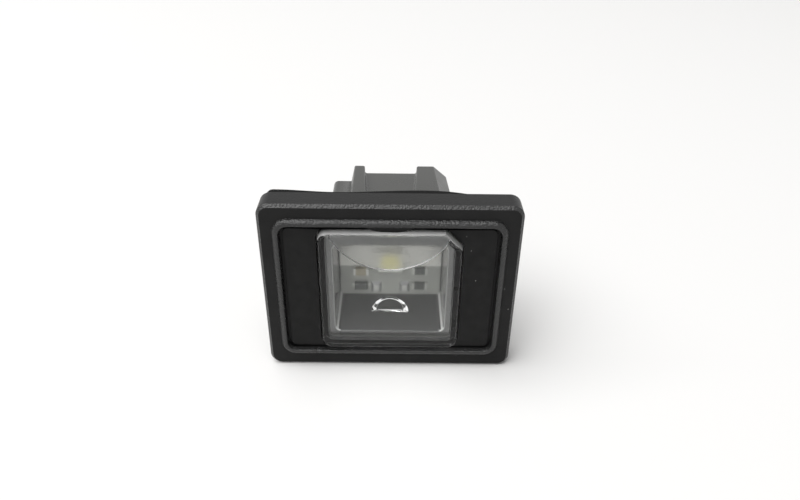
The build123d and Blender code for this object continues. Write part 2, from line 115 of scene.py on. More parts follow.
class LampBezelSettings(PropertyGroup):
    """Sizes and colours of the black front bezel"""

    flange_corner: length("Flange corner", "Radius of the flange's corners", 2.4 * MM)
    flange_edge: length("Flange edge", "Bevel along the flange's front edge", 0.6 * MM)
    shelf_end: length("End shelf", "Flat shelf outside the rim at the ends", 2.7 * MM)
    shelf_top: length("Top shelf", "Flat shelf above the rim", 2.85 * MM)
    shelf_foot: length("Foot shelf", "Flat shelf below the rim", 3.2 * MM)
    rim_width: length("Rim width", "Width of the raised rim at its foot", 1.3 * MM)
    rim_height: length("Rim height", "Height of the rim over the flange's face", 1.0 * MM)
    rim_corner: length("Rim corner", "Radius of the rim's outer corners", 3.0 * MM)
    rim_shoulder: length("Rim shoulder", "Bevel along the rim's outer top edge", 0.6 * MM)
    rim_edge: length("Rim edge", "Rounding of the rim's inner top edge", 0.2 * MM)
    rim_lean: slant("Rim lean", "Lean of the rim's outer wall", 18)
    recess_lean: slant("Recess lean", "Lean of the recess's wall", 12)
    panel_edge: length("Panel edge", "Rounding of the panel's edge", 0.15 * MM)
    seam_width: length("Seam width", "Groove between the panel and the recess's wall", 0.5 * MM)
    seam_depth: length("Seam depth", "Depth of that groove", 0.5 * MM)
    aperture_gap: length("Aperture gap", "Room beside and below the lens", 0.35 * MM)
    aperture_top_gap: length("Aperture top gap", "Room above the lens", 0.1 * MM)
    aperture_edge: length("Aperture edge", "Rounding of the aperture's front edge", 0.12 * MM)
    pocket_gap: length("Pocket gap", "Room round the housing's base plate", 0.15 * MM)
    pocket_corner: length("Pocket corner", "Radius of the rear pocket's corners", 2.5 * MM)
    lug_width: length("Lug width", "Width of the lug over the lens", 8.6 * MM)
    lug_drop: length("Lug drop", "How far the lug hangs into the recess", 0.85 * MM)
    stake_width: length("Stake width", "Diameter of the heat stakes", 2.4 * MM)
    stake_head: length("Stake head", "Diameter of the upset heads", 3.8 * MM)
    stake_head_thick: length("Stake head thickness", "Thickness of the upset heads", 0.8 * MM)
    corner_steps: IntProperty(
        name="Corner steps", description="Facets in each round corner", default=10, min=1
    )
    colour: tint("Colour", "Black of the moulding", (0.009, 0.009, 0.009))
    worn_colour: tint("Rubbed colour", "Paler black where the grain is rubbed", (0.014, 0.014, 0.014))

    @property
    def rim_span(self):
        """Width and height of the rim at its foot."""
        flange = BEZEL_HIGH - BEZEL_LOW
        return Vector((flange.x - 2 * self.shelf_end, flange.z - self.shelf_top - self.shelf_foot))

    @property
    def recess_dip(self):
        """How far the recess's wall leans in over the rim's height."""
        return self.rim_height * math.tan(self.recess_lean)

    @property
    def flange_front(self):
        """Depth of the flange's face."""
        return RIM_TOP + self.rim_height

    @property
    def seam_floor(self):
        """Depth of the bottom of the groove round the panel."""
        return self.flange_front + self.seam_depth


class LampLensSettings(PropertyGroup):
    """Sizes and colours of the clear lens"""

    corner: length("Corner", "Radius of the lens's three round corners", 2.0 * MM)
    cut: length("Cut corner", "Legs of the lens's cut corner", 3.4 * MM)
    edge: length("Edge", "Rounding of the inner edges", 0.12 * MM)
    face_thick: length("Face thickness", "Thickness of the front wall", 2.0 * MM)
    pad_thick: length("Pad thickness", "Height of the round pad inside", 0.8 * MM)
    pad_foot: length("Pad foot", "Lowest point of the pad over the lens's middle", 4.95 * MM)
    index: FloatProperty(
        name="Refraction", description="Index of the clear plastic", default=1.585, min=1.0, max=2.0
    )
    colour: tint("Colour", "Colour of the clear plastic", (0.97, 0.98, 0.975))
    shine: tint("Shine", "Strength of the clear plastic's reflections", (0.45, 0.45, 0.45))
    frost_colour: tint("Frost", "Grey of the frosted upper walls", (0.42, 0.42, 0.415))


class LampHousingSettings(PropertyGroup):
    """Edges and colours of the grey housing and the foam gasket"""

    edge: length("Edge", "Rounding of the housing's rear edges", 0.2 * MM)
    catch_reach: length("Catch reach", "Distance from the middle where the catches begin", 13.7 * MM)
    colour: tint("Colour", "Grey of the housing", (0.028, 0.0285, 0.0255))
    pale_colour: tint("Pale colour", "Grey where the plastic flowed last", (0.037, 0.0375, 0.0335))
    chamber_rim: length("Chamber rim", "Distance of the light chamber from the lens's outside", 1.8 * MM)
    chamber_edge: length("Chamber edge", "Rounding of the light chamber's mouth", 0.25 * MM)
    chamber_colour: tint("Chamber colour", "Grey of the polished light chamber", (0.04, 0.04, 0.039))
    # Painted light: the side walls take a paler copy of the chamber's grey, standing in for the light
    # they catch
    side_colour: tint("Side colour", "Paler grey of the light chamber's side walls", (0.22, 0.22, 0.215))
    # Painted highlight: a pale line in the chamber's corners and on the corners of its mouth's rounding,
    # standing in for the lamp's reflection
    corner_colour: tint("Corner colour", "Pale line in the light chamber's corners", (0.5, 0.5, 0.49))
    land_colour: tint("Land colour", "Grey of the polished land round the chamber", (0.075, 0.075, 0.073))
    foam_edge: length("Foam edge", "Rounding of the gasket's edges", 0.25 * MM)
    foam_colour: tint("Foam colour", "Black of the foam", (0.008, 0.008, 0.008))


class LampBoardSettings(PropertyGroup):
    """Colours of the circuit board and what it carries"""

    resist_colour: tint("Resist", "White of the solder resist", (0.72, 0.71, 0.67))
    # Grey of the board below the resist foot
    bare_colour: tint("Bare board", "Grey of the lower part without white resist", (0.33, 0.335, 0.31))
    resist_foot: FloatProperty(
        name="Resist foot",
        description="Height where the white resist ends",
        default=-0.25 * MM,
        unit="LENGTH",
    )
    # Painted shadow: a dark line along the resist's end, standing in for the shade under its edge
    resist_line: length("Resist line", "Width of the line along the resist's end", 0.12 * MM)
    package_colour: tint("Package", "White of the lamp chip's package", (0.68, 0.68, 0.64))
    phosphor_colour: tint("Phosphor", "Yellow of the lamp chip's filling", (0.8, 0.74, 0.36))
    tin_colour: tint("Tin", "Colour of tinned metal", (0.5, 0.5, 0.48))
    solder_colour: tint("Solder", "Colour of the solder", (0.42, 0.42, 0.42))
    resistor_colour: tint("Resistor", "Dark grey of the resistors and the diode", (0.06, 0.065, 0.06))
    capacitor_colour: tint("Capacitor", "Tan of the capacitor", (0.3, 0.27, 0.2))


class LampStageSettings(PropertyGroup):
    """Camera, table and lights"""

    camera_place: spot(
        "Camera place", "Where the camera stands", (1.08 * MM, -120.83 * MM, 81.5 * MM)
    )
    camera_aim: spot(
        "Camera aim", "Point that the camera looks at", (1.93 * MM, -2.55 * MM, 6.61 * MM)
    )
    camera_roll: slant("Camera roll", "Tilt of the picture", 0.77)
    focal_length: FloatProperty(
        name="Focal length", description="Focal length in millimetres on a 36 mm sensor", default=31.5
    )
    table_size: length("Table size", "Side of the square table", 1.6)
    table_colour: tint("Table", "White of the table", (0.9, 0.895, 0.885))
    world_level: FloatProperty(
        name="World level", description="Strength of the light from all round", default=0.25
    )
    key_place: spot("Key place", "Middle of the large soft lamp", (-0.75, -0.4, 1.8))
    key_size: length("Key size", "Side of the large soft lamp", 2.2)
    key_power: FloatProperty(
        name="Key power", description="Power of the large soft lamp in watts", default=54.0
    )


# Modelling helpers


def new_piece(name, bm, materials, node):
    """Turn a bmesh into a smooth piece that rides on the lamp and stands for a CAD node."""
    mesh = bpy.data.meshes.new(name)
    bm.to_mesh(mesh)
    bm.free()
    for material in materials:
        mesh.materials.append(material)
    mesh.shade_smooth()
    mesh.set_sharp_from_angle(angle=SHARP_ANGLE)
    piece = bpy.data.objects.new(name, mesh)
    bpy.context.scene.collection.objects.link(piece)
    flats = piece.modifiers.new("flats", "WEIGHTED_NORMAL")
    flats.keep_sharp = True
    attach(piece, BODY)
    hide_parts(node)


def across(x, y, z):
    """Matrix that stands a flat outline upright at depth y, facing out through the lens."""
    return Matrix.Translation((x, y, z)) @ Matrix.Rotation(math.pi / 2, 4, "X")


class Outline:
    """Rectangle across the lamp with round corners, of which the upper right one may be cut straight."""

    def __init__(self, width, height, radius, z=0.0, cut=0.0):
        self.half = Vector((width / 2, height / 2))
        self.radius = radius
        self.z = z
        self.cut = cut

    def point(self, right, up, turn, depth):
        """Point on a corner, where turn goes from 0 at the side to 1 at the top or bottom."""
        if self.cut and right > 0 and up > 0:
            back = self.cut * Vector((turn, 1 - turn))
        else:
            angle = turn * math.pi / 2
            back = self.radius * Vector((1 - math.cos(angle), 1 - math.sin(angle)))
        return Vector((right * (self.half.x - back.x), depth, self.z + up * (self.half.y - back.y)))


class LoopStack:
    """A wall that runs through a row of outlines with the same number of points."""

    CORNERS = ((1, 1), (-1, 1), (-1, -1), (1, -1))

    def __init__(self, bm, steps, outline, depth):
        self.bm = bm
        self.corner = bm.verts.layers.int.new("corner")
        self.turn = bm.verts.layers.float.new("turn")
        verts = bmesh.ops.create_circle(bm, segments=4 * (steps + 1), radius=1.0)["verts"]
        for index, vert in enumerate(verts):
            vert[self.corner], place = divmod(index, steps + 1)
            vert[self.turn] = place / steps if vert[self.corner] % 2 == 0 else 1 - place / steps
        self.shape(verts, outline, depth)
        self.first = (outline, depth)
        self.edges = list({edge for vert in verts for edge in vert.link_edges})

    def shape(self, verts, outline, depth):
        """Move the points of a loop on to an outline."""
        for vert in verts:
            vert.co = outline.point(*self.CORNERS[vert[self.corner]], vert[self.turn], depth)

    def add(self, outline, depth, material=0):
        """Extrude the last loop to the next outline and return the new loop's edges."""
        made = bmesh.ops.extrude_edge_only(self.bm, edges=self.edges)["geom"]
        verts = [item for item in made if isinstance(item, bmesh.types.BMVert)]
        self.shape(verts, outline, depth)
        for face in (item for item in made if isinstance(item, bmesh.types.BMFace)):
            face.material_index = material
        moved = set(verts)
        edges = [item for item in made if isinstance(item, bmesh.types.BMEdge)]
        self.edges = [edge for edge in edges if moved.issuperset(edge.verts)]
        return self.edges

    def close(self):
        """Join the last loop to the first one."""
        self.add(*self.first)
        bmesh.ops.remove_doubles(self.bm, verts=self.bm.verts, dist=MERGE_DISTANCE)


def round_edges(bm, edges, radius, steps):
    """Round some edges and return the faces of the rounding."""
    return bmesh.ops.bevel(
        bm,
        geom=edges,
        offset=radius,
        segments=steps,
        profile=0.5,
        affect="EDGES",
        material=-1,
        clamp_overlap=False,
    )["faces"]


def pin(bm, diameter, front, back, x):
    """Round pin along the depth, level with the origin."""
    bmesh.ops.create_cone(
        bm,
        cap_ends=True,
        segments=PIN_STEPS,
        radius1=diameter / 2,
        radius2=diameter / 2,
        depth=back - front,
        matrix=across(x, (front + back) / 2, 0),
    )


def merged_copy(node):
    """A bmesh of a CAD node with its loose triangles joined into flat faces."""
    bm = bmesh.new()
    bm.from_mesh(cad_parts[node].data)
    bmesh.ops.remove_doubles(bm, verts=bm.verts, dist=MERGE_DISTANCE)
    bmesh.ops.dissolve_limit(bm, angle_limit=FLAT_ANGLE, verts=bm.verts, edges=bm.edges)
    return bm


def outer_edges(bm):
    """Edges that stand out sharply."""
    return [edge for edge in bm.edges if edge.is_convex and edge.calc_face_angle() > SHARP_ANGLE]


# Material helpers

DUST_COLOUR = (0.3, 0.3, 0.29)
SPECK_REACH = 0.09  # radius of the largest specks, as a share of their spacing
CLOUD_RATIO = 20.0  # size of the tone's clouds, in grains
FINE_GRAIN = 0.3 * MM
FINE_DEPTH = 0.004 * MM
SMOOTH_GRAIN = 0.6 * MM
SHADE = 0.85  # darker tone of a small part
LOWER_AND_SHADOW_LINE_SHADE = 0.8  # darker tone of the board's lower part, and the colour of the painted shadow line
UNEVEN = 0.2  # share by which a small part's roughness varies


class Finish:
    """A material with one Principled shader and short ways to add nodes."""

    def __init__(self, name):
        self.material = bpy.data.materials.new(name)
        self.material.use_nodes = True
        self.tree = self.material.node_tree
        self.shader = self.tree.nodes["Principled BSDF"]

    def set(self, **values):
        """Set the shader's own sockets."""
        for name, value in values.items():
            socket = self.shader.inputs[name.replace("_", " ")]
            socket.default_value = (*value, 1.0) if socket.type == "RGBA" else value
        return self

    def add(self, kind, **settings):
        """Add a node."""
        return add_node(self.tree, kind, **settings)

    def group(self, tree, **values):
        """Place a shared node group with its own values."""
        placed = self.add("ShaderNodeGroup")
        placed.node_tree = tree
        for name, value in values.items():
            placed.inputs[name.replace("_", " ")].default_value = value
        return placed

    def feed(self, output, name):
        """Link an output to one of the shader's sockets."""
        self.tree.links.new(output, self.shader.inputs[name.replace("_", " ")])

    def mix(self, mask, first, second):
        """Colour that goes from first to second with a mask."""
        blend = self.add("ShaderNodeMix", data_type="RGBA")
        self.tree.links.new(mask, blend.inputs["Factor"])
        inputs = [socket for socket in blend.inputs if socket.type == "RGBA"]
        for socket, colour in zip(inputs, (first, second)):
            if isinstance(colour, bpy.types.NodeSocket):
                self.tree.links.new(colour, socket)
            else:
                socket.default_value = (*colour, 1.0)
        return next(socket for socket in blend.outputs if socket.type == "RGBA")

    def span(self, value, low, high):
        """Value from 0 to 1 stretched between low and high."""
        stretch = self.add("ShaderNodeMapRange")
        stretch.inputs["To Min"].default_value = low
        stretch.inputs["To Max"].default_value = high
        self.tree.links.new(value, stretch.inputs["Value"])
        return stretch.outputs["Result"]

    def bump(self, height, depth):
        """Raise the surface by a height and feed the normal."""
        raised = self.add("ShaderNodeBump")
        raised.inputs["Strength"].default_value = 1.0
        raised.inputs["Distance"].default_value = depth
        self.tree.links.new(height, raised.inputs["Height"])
        self.feed(raised.outputs["Normal"], "Normal")


def add_node(tree, kind, **settings):
    """Add a node to a tree and set its properties."""
    made = tree.nodes.new(kind)
    for name, value in settings.items():
        setattr(made, name, value)
    return made


def new_group(name, inputs, outputs):
    """Empty shader node group with float inputs and outputs."""
    tree = bpy.data.node_groups.new(name, "ShaderNodeTree")
    for label, default in inputs.items():
        socket = tree.interface.new_socket(label, in_out="INPUT", socket_type="NodeSocketFloat")
        socket.default_value = default
    for label in outputs:
        tree.interface.new_socket(label, in_out="OUTPUT", socket_type="NodeSocketFloat")
    return tree, add_node(tree, "NodeGroupInput"), add_node(tree, "NodeGroupOutput")


def math_node(tree, operation, first, second):
    """Arithmetic on two sockets or numbers."""
    made = add_node(tree, "ShaderNodeMath", operation=operation)
    for socket, value in zip(made.inputs, (first, second)):
        if isinstance(value, bpy.types.NodeSocket):
            tree.links.new(value, socket)
        else:
            socket.default_value = value
    return made.outputs["Value"]


def moulded_grain():
    """Fine pebbled grain of a spark-eroded mould."""
    tree, inputs, outputs = new_group("moulded_grain", {"Size": 0.2 * MM}, ("Height", "Tone"))
    place = add_node(tree, "ShaderNodeTexCoord").outputs["Object"]
    scale = math_node(tree, "DIVIDE", 1.0, inputs.outputs["Size"])
    pebbles = add_node(tree, "ShaderNodeTexNoise")
    pebbles.inputs["Detail"].default_value = 2.0
    tree.links.new(place, pebbles.inputs["Vector"])
    tree.links.new(scale, pebbles.inputs["Scale"])
    tree.links.new(pebbles.outputs["Fac"], outputs.inputs["Height"])
    clouds = add_node(tree, "ShaderNodeTexNoise")
    clouds.inputs["Detail"].default_value = 4.0
    tree.links.new(place, clouds.inputs["Vector"])
    tree.links.new(math_node(tree, "DIVIDE", scale, CLOUD_RATIO), clouds.inputs["Scale"])
    spread = add_node(tree, "ShaderNodeMapRange")
    spread.inputs["From Min"].default_value = 0.3
    spread.inputs["From Max"].default_value = 0.7
    tree.links.new(clouds.outputs["Fac"], spread.inputs["Value"])
    tree.links.new(spread.outputs["Result"], outputs.inputs["Tone"])
    return tree


def settled_dust():
    """Small pale specks scattered over a surface."""
    tree, inputs, outputs = new_group("settled_dust", {"Spacing": 1.2 * MM, "Amount": 0.3}, ("Mask",))
    place = add_node(tree, "ShaderNodeTexCoord").outputs["Object"]
    cells = add_node(tree, "ShaderNodeTexVoronoi")
    tree.links.new(place, cells.inputs["Vector"])
    tree.links.new(math_node(tree, "DIVIDE", 1.0, inputs.outputs["Spacing"]), cells.inputs["Scale"])
    lottery = add_node(tree, "ShaderNodeSeparateColor")
    tree.links.new(cells.outputs["Color"], lottery.inputs["Color"])
    chosen = math_node(tree, "LESS_THAN", lottery.outputs["Red"], inputs.outputs["Amount"])
    reach = math_node(tree, "MULTIPLY", lottery.outputs["Green"], SPECK_REACH)
    near = math_node(tree, "LESS_THAN", cells.outputs["Distance"], reach)
    tree.links.new(math_node(tree, "MULTIPLY", chosen, near), outputs.inputs["Mask"])
    return tree


def shared(maker):
    """A shared node group, made the first time it is asked for."""
    return bpy.data.node_groups.get(maker.__name__) or maker()


def moulded_plastic(name, colour, pale, grain_size, grain_depth, roughness, specular, dust):
    """Opaque moulded plastic with grain, uneven tone and a little dust."""
    finish = Finish(name).set(Specular_IOR_Level=specular)
    grain = finish.group(shared(moulded_grain), Size=grain_size)
    specks = finish.group(shared(settled_dust), Amount=dust)
    toned = finish.mix(grain.outputs["Tone"], colour, pale)
    finish.feed(finish.mix(specks.outputs["Mask"], toned, DUST_COLOUR), "Base_Color")
    finish.feed(finish.span(grain.outputs["Tone"], *roughness), "Roughness")
    finish.bump(grain.outputs["Height"], grain_depth)
    return finish.material


def clear_plastic(name, colour, shine, index, roughness, clear=1.0):
    """Clear plastic that lets the lamps' light in to what lies behind it."""
    finish = Finish(name).set(Base_Color=colour, Specular_Tint=shine, IOR=index)
    finish.set(Transmission_Weight=clear, Metallic=0.0)
    grain = finish.group(shared(moulded_grain), Size=SMOOTH_GRAIN)
    finish.feed(finish.span(grain.outputs["Tone"], *roughness), "Roughness")
    rays = finish.add("ShaderNodeLightPath")
    open_air = finish.add("ShaderNodeBsdfTransparent")
    choice = finish.add("ShaderNodeMixShader")
    finish.tree.links.new(rays.outputs["Is Shadow Ray"], choice.inputs[0])
    finish.tree.links.new(finish.shader.outputs[0], choice.inputs[1])
    finish.tree.links.new(open_air.outputs[0], choice.inputs[2])
    finish.tree.links.new(choice.outputs[0], finish.tree.nodes["Material Output"].inputs["Surface"])
    return finish.material


def plain_part(name, colour, roughness, metallic=0.0):
    """Small part with a fine uneven surface."""
    finish = Finish(name).set(Metallic=metallic)
    grain = finish.group(shared(moulded_grain), Size=FINE_GRAIN)
    darker = tuple(channel * SHADE for channel in colour)
    finish.feed(finish.mix(grain.outputs["Tone"], darker, colour), "Base_Color")
    smoothest = roughness * (1 - UNEVEN)
    roughest = roughness * (1 + UNEVEN)
    finish.feed(finish.span(grain.outputs["Tone"], smoothest, roughest), "Roughness")
    finish.bump(grain.outputs["Height"], FINE_DEPTH)
    return finish.material


def dress(node, material):
    """Give a CAD node its material."""
    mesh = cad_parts[node].data
    mesh.materials.clear()
    mesh.materials.append(material)


# Pieces


class LAMP_OT_bezel(Operator):
    """Model the black bezel: flange, raised rim, recessed panel, lug and heat stakes"""

    bl_idname = "lamp.bezel"
    bl_label = "Bezel"

    # Order of the finishes
    GRAINED, SATIN, RUBBED = range(3)

    def execute(self, context):
        size = context.scene.lamp_bezel
        bm = bmesh.new()
        self.raise_wall(bm, size, context.scene.lamp_lens)
        self.hang_lug(bm, size)
        self.set_stakes(bm, size)
        bmesh.ops.recalc_face_normals(bm, faces=bm.faces)
        new_piece("bezel_moulding", bm, self.finishes(size), "bezel")
        return {"FINISHED"}

    def raise_wall(self, bm, size, lens):
        """Run one closed wall over the flange, rim, recess and panel, and back behind them."""
        flange = BEZEL_HIGH - BEZEL_LOW
        pocket = HOUSING_HIGH - HOUSING_LOW
        lens_size = LENS_HIGH - LENS_LOW
        lean = size.rim_height * math.tan(size.rim_lean)
        dip = size.recess_dip
        recess_corner = size.rim_corner - size.rim_width

        def inside_rim(step, corner):
            return Outline(size.rim_span.x - 2 * step, size.rim_span.y - 2 * step, corner)

        edge_of_flange = Outline(flange.x, flange.z, size.flange_corner, (BEZEL_LOW.z + BEZEL_HIGH.z) / 2)
        rim_foot = inside_rim(0, size.rim_corner)
        rim_crest = inside_rim(lean, size.rim_corner - lean)
        recess_mouth = inside_rim(size.rim_width, recess_corner + dip)
        recess_floor = inside_rim(size.rim_width + dip, recess_corner)
        panel = inside_rim(size.rim_width + dip + size.seam_width, recess_corner - size.seam_width)
        aperture = Outline(
            lens_size.x + 2 * size.aperture_gap,
            lens_size.z + size.aperture_gap + size.aperture_top_gap,
            lens.corner,
            (LENS_HIGH.z + LENS_LOW.z + size.aperture_top_gap - size.aperture_gap) / 2,
            lens.cut,
        )
        rear_pocket = Outline(
            pocket.x + 2 * size.pocket_gap, pocket.z + 2 * size.pocket_gap, size.pocket_corner
        )

        front = size.flange_front
        wall = LoopStack(bm, size.corner_steps, edge_of_flange, FLANGE_BACK)
        flange_loop = wall.add(edge_of_flange, front)
        wall.add(rim_foot, front)
        shoulder_loop = wall.add(rim_crest, RIM_TOP, material=self.RUBBED)
        mouth_loop = wall.add(recess_mouth, RIM_TOP, material=self.RUBBED)
        wall.add(recess_floor, front, material=self.RUBBED)
        wall.add(recess_floor, size.seam_floor)
        wall.add(panel, size.seam_floor)
        panel_loop = wall.add(panel, front, material=self.SATIN)
        aperture_loop = wall.add(aperture, front, material=self.SATIN)
        wall.add(aperture, PANEL_BACK, material=self.SATIN)
        wall.add(rear_pocket, PANEL_BACK)
        wall.add(rear_pocket, FLANGE_BACK)
        wall.close()
        for face in round_edges(bm, flange_loop, size.flange_edge, steps=1):
            face.material_index = self.RUBBED
        round_edges(bm, shoulder_loop, size.rim_shoulder, steps=2)
        round_edges(bm, mouth_loop, size.rim_edge, steps=3)
        round_edges(bm, panel_loop, size.panel_edge, steps=3)
        round_edges(bm, aperture_loop, size.aperture_edge, steps=2)

    def hang_lug(self, bm, size):
        """Hang a shallow round lug from the recess's top wall, over the lens."""
        recess_top = size.rim_span.y / 2 - size.rim_width - size.recess_dip
        radius = (size.lug_width**2 / 4 + size.lug_drop**2) / (2 * size.lug_drop)
        foot = across(0, size.seam_floor, recess_top - size.lug_drop + radius)
        lug = bmesh.ops.create_circle(bm, cap_ends=True, segments=LUG_STEPS, radius=radius, matrix=foot)
        faces = list({face for vert in lug["verts"] for face in vert.link_faces})
        edges = list({edge for face in faces for edge in face.edges})
        root = Vector((0, 0, recess_top + size.lug_drop))
        cut = bmesh.ops.bisect_plane(
            bm, geom=faces + edges + lug["verts"], plane_co=root, plane_no=(0, 0, 1), clear_outer=True
        )
        face = next(item for item in cut["geom"] if isinstance(item, bmesh.types.BMFace))
        raised = bmesh.ops.extrude_face_region(bm, geom=[face])
        top = [item for item in raised["geom"] if isinstance(item, bmesh.types.BMVert)]
        lug_length = size.seam_floor - RIM_TOP - size.rim_edge
        bmesh.ops.translate(bm, verts=top, vec=(0, -lug_length, 0))

    def set_stakes(self, bm, size):
        """Set a heat stake with an upset head on each side of the lens."""
        stake_x = ((LENS_HIGH.x - LENS_LOW.x) / 2 + (HOUSING_HIGH.x - HOUSING_LOW.x) / 2) / 2
        for x in (-stake_x, stake_x):
            pin(bm, size.stake_width, PANEL_BACK - size.stake_head_thick / 2, FLANGE_BACK, x)
            pin(bm, size.stake_head, FLANGE_BACK - size.stake_head_thick, FLANGE_BACK, x)

    def finishes(self, size):
        """Grained flange, satin panel and rubbed edges."""
        black = {"colour": size.colour, "pale": size.worn_colour}
        grained = moulded_plastic(
            "bezel_grain",
            grain_size=0.3 * MM,
            grain_depth=0.05 * MM,
            roughness=(0.32, 0.42),
            specular=0.15,
            dust=0.05,
            **black,
        )
        satin = moulded_plastic(
            "bezel_satin",
            grain_size=0.12 * MM,
            grain_depth=0.008 * MM,
            roughness=(0.34, 0.46),
            specular=0.12,
            dust=0.12,
            **black,
        )
        rubbed = moulded_plastic(
            "bezel_rubbed",
            grain_size=0.4 * MM,
            grain_depth=0.2 * MM,
            roughness=(0.24, 0.34),
            specular=0.5,
            dust=0.05,
            **black,
        )
        return grained, satin, rubbed


class LAMP_OT_lens(Operator):
    """Soften the lens's inner edges and make it clear"""

    bl_idname = "lamp.lens"
    bl_label = "Lens"

    # Order of the finishes
    POLISHED, SATIN, FROSTED, MISTED = range(4)
    # Parts of a face's normal along the height and the depth that tell the frosted walls and the inside
    LEAST_UP = 0.3
    MOST_DEEP = 0.5
    LEAST_INWARD = 0.9

    def execute(self, context):
        size = context.scene.lamp_lens
        bm = merged_copy("lens")
        behind = LENS_LOW.y + size.edge
        hidden = [edge for edge in outer_edges(bm) if all(vert.co.y > behind for vert in edge.verts)]
        round_edges(bm, hidden, size.edge, steps=2)
        middle = (LENS_LOW + LENS_HIGH) / 2
        inner = LENS_LOW.y + size.face_thick
        pad = inner + size.pad_thick
        for face in bm.faces:
            centre = face.calc_center_median() - middle
            depth = centre.y + middle.y
            upright = face.normal.z > self.LEAST_UP and abs(face.normal.y) < self.MOST_DEEP
            if upright and centre.dot(face.normal) > 0:
                face.material_index = self.FROSTED
            elif centre.z > size.pad_foot - size.edge and inner < depth < pad + size.edge:
                face.material_index = self.SATIN
            elif face.normal.y > self.LEAST_INWARD:
                face.material_index = self.MISTED
        plastic = {"colour": size.colour, "shine": size.shine, "index": size.index}
        frost = plastic | {"colour": size.frost_colour, "clear": 0.3}
        materials = (
            clear_plastic("lens_polished", roughness=(0.01, 0.03), **plastic),
            clear_plastic("lens_satin", roughness=(0.32, 0.38), **plastic),
            clear_plastic("lens_frosted", roughness=(0.35, 0.45), **frost),
            clear_plastic("lens_misted", roughness=(0.1, 0.14), **plastic),
        )
        new_piece("lens_moulding", bm, materials, "lens")
        return {"FINISHED"}


class LAMP_OT_housing(Operator):
    """Soften the housing's rear edges and give it its grey plastic"""

    bl_idname = "lamp.housing"
    bl_label = "Housing"

    # Order of the finishes; the side and corner ones are paler copies of the chamber's grey, painted
    # light and a painted highlight
    GREY, FLOOR, SIDE, CORNER, LAND = range(5)
    # Parts of a face's normal that tell the chamber's walls from its ends, sides, corners and mouth
    MOST_DEEP = 0.9
    LEAST_SIDE = 0.85
    LEAST_CORNER = 0.6
    LEAST_MOUTH_CORNER = 0.2

    def execute(self, context):
        size = context.scene.lamp_housing
        bm = merged_copy("housing")
        self.line_chamber(bm, size)
        rear = HOUSING_HIGH.y - MERGE_DISTANCE

        def shows(edge):
            at_rear = all(vert.co.y > rear for vert in edge.verts)
            on_catch = all(abs(vert.co.x) > size.catch_reach and vert.co.y > 0 for vert in edge.verts)
            return at_rear or on_catch

        round_edges(bm, [edge for edge in outer_edges(bm) if shows(edge)], size.edge, steps=2)
        new_piece("housing_moulding", bm, self.finishes(size), "housing")
        return {"FINISHED"}

    def line_chamber(self, bm, size):
        """Give the light chamber's walls their finishes, painted light on the side walls and a painted
        highlight in the corners, and round its mouth.
        """
        rim = Vector((1, 0, 1)) * size.chamber_rim
        low = Vector((LENS_LOW.x, HOUSING_LOW.y, LENS_LOW.z)) + rim
        high = Vector((LENS_HIGH.x, BOARD_FRONT, LENS_HIGH.z)) - rim
        front = HOUSING_LOW.y + MERGE_DISTANCE

        def in_chamber(point):
            limits = zip(low, point, high)
            return all(least - MERGE_DISTANCE < value < most for least, value, most in limits)

        for face in bm.faces:
            centre = face.calc_center_median()
            if centre.y < front:
                face.material_index = self.LAND
            elif abs(face.normal.y) < self.MOST_DEEP and in_chamber(centre):
                face.material_index = self.wall_finish(abs(face.normal.x))
        mouth = [
            edge
            for edge in outer_edges(bm)
            if all(vert.co.y < front and in_chamber(vert.co) for vert in edge.verts)
        ]
        for face in round_edges(bm, mouth, size.chamber_edge, steps=3):
            # The mouth's rounded corners take the painted highlight and its sides the painted light
            face.material_index = self.mouth_finish(abs(face.normal.x), abs(face.normal.z))

    def wall_finish(self, sideways):
        """Finish of one of the light chamber's walls by how far it faces sideways: painted light on the
        side walls, a painted highlight in the corners.
        """
        if sideways > self.LEAST_SIDE:
            return self.SIDE
        if sideways > self.LEAST_CORNER:
            return self.CORNER
        return self.FLOOR

    def mouth_finish(self, sideways, upright):
        """Finish of the mouth's rounding by how far it faces sideways and up or down: a painted highlight
        at its corners, painted light along its sides.
        """
        if min(sideways, upright) > self.LEAST_MOUTH_CORNER:
            return self.CORNER
        if sideways > upright:
            return self.SIDE
        return self.FLOOR

    def finishes(self, size):
        """Grey plastic, and the polished light chamber's floor and land, with paler copies of its grey as
        painted light on the sides and a painted highlight in the corners.
        """
        grey = moulded_plastic(
            "housing_grey",
            size.colour,
            size.pale_colour,
            grain_size=0.3 * MM,
            grain_depth=0.012 * MM,
            roughness=(0.24, 0.34),
            specular=0.6,
            dust=0.04,
        )
        chamber = {
            # The side and corner copies are paler than the floor as painted light and a painted highlight
            "chamber_floor": size.chamber_colour,
            "chamber_side_painted_light": size.side_colour,
            "chamber_corner_painted_highlight": size.corner_colour,
            "chamber_land": size.land_colour,
        }
        polished = [
            moulded_plastic(
                name,
                colour,
                colour,
                grain_size=SMOOTH_GRAIN,
                grain_depth=FINE_DEPTH,
                roughness=(0.12, 0.18),
                specular=0.9,
                dust=0.0,
            )
            for name, colour in chamber.items()
        ]
        return grey, *polished


class LAMP_OT_gasket(Operator):
    """Round and roughen the soft foam gasket"""

    bl_idname = "lamp.gasket"
    bl_label = "Gasket"

    def execute(self, context):
        size = context.scene.lamp_housing
        bm = merged_copy("gasket")
        round_edges(bm, outer_edges(bm), size.foam_edge, steps=3)
        foam = moulded_plastic(
            "gasket_foam",
            size.foam_colour,
            size.foam_colour,
            grain_size=0.35 * MM,
            grain_depth=0.12 * MM,
            roughness=(0.85, 0.95),
            specular=0.15,
            dust=0.06,
        )
        new_piece("gasket_foam", bm, (foam,), "gasket")
        return {"FINISHED"}


